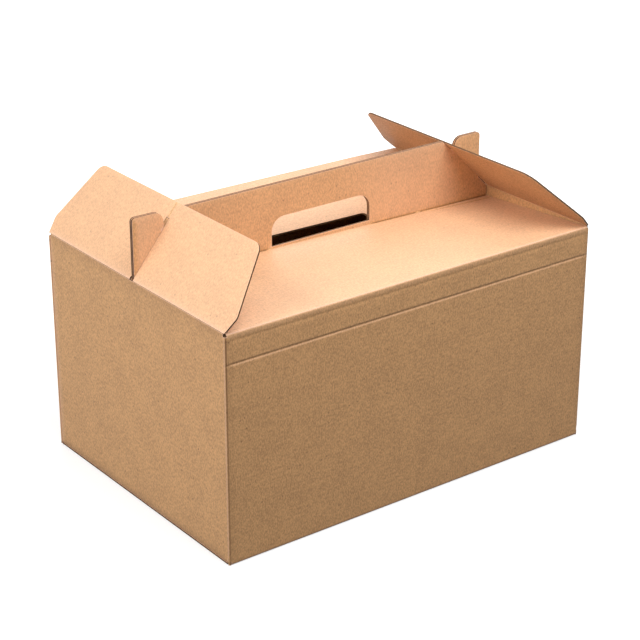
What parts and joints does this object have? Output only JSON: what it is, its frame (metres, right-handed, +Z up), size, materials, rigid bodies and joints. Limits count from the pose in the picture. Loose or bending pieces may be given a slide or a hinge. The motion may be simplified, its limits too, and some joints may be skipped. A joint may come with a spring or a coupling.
{
  "type": "takeaway food box",
  "caption": "Folded kraft corrugated food box with two top panels rising into a carry handle, end flaps locked over its ears, and a hand hole.",
  "frame": {"origin": "middle of the underside, on the surface that the box stands on", "axes": "+X along the long walls to the right seen from the front, +Y to the back, +Z up"},
  "size_m": [0.35, 0.249, 0.2377],
  "materials": {
    "kraft_board": "matte",
    "kraft_flap_left": "matte",
    "kraft_flap_right": "matte"
  },
  "bodies": {
    "carton": {"carton": "kraft_board"},
    "left_flap": {"left_end_flap": "kraft_flap_left"},
    "right_flap": {"right_end_flap": "kraft_flap_right"}
  },
  "joints": [
    {"name": "left_flap_fold", "type": "hinge", "parent": "carton", "child": "left_flap", "pos_m": [-0.1752, 0, 0.1857], "axis": [0, -1, 0], "range_deg": [0, 219.5]},
    {"name": "right_flap_fold", "type": "hinge", "parent": "carton", "child": "right_flap", "pos_m": [0.1752, 0, 0.1857], "axis": [0, 1, 0], "range_deg": [0, 225.9]}
  ]
}
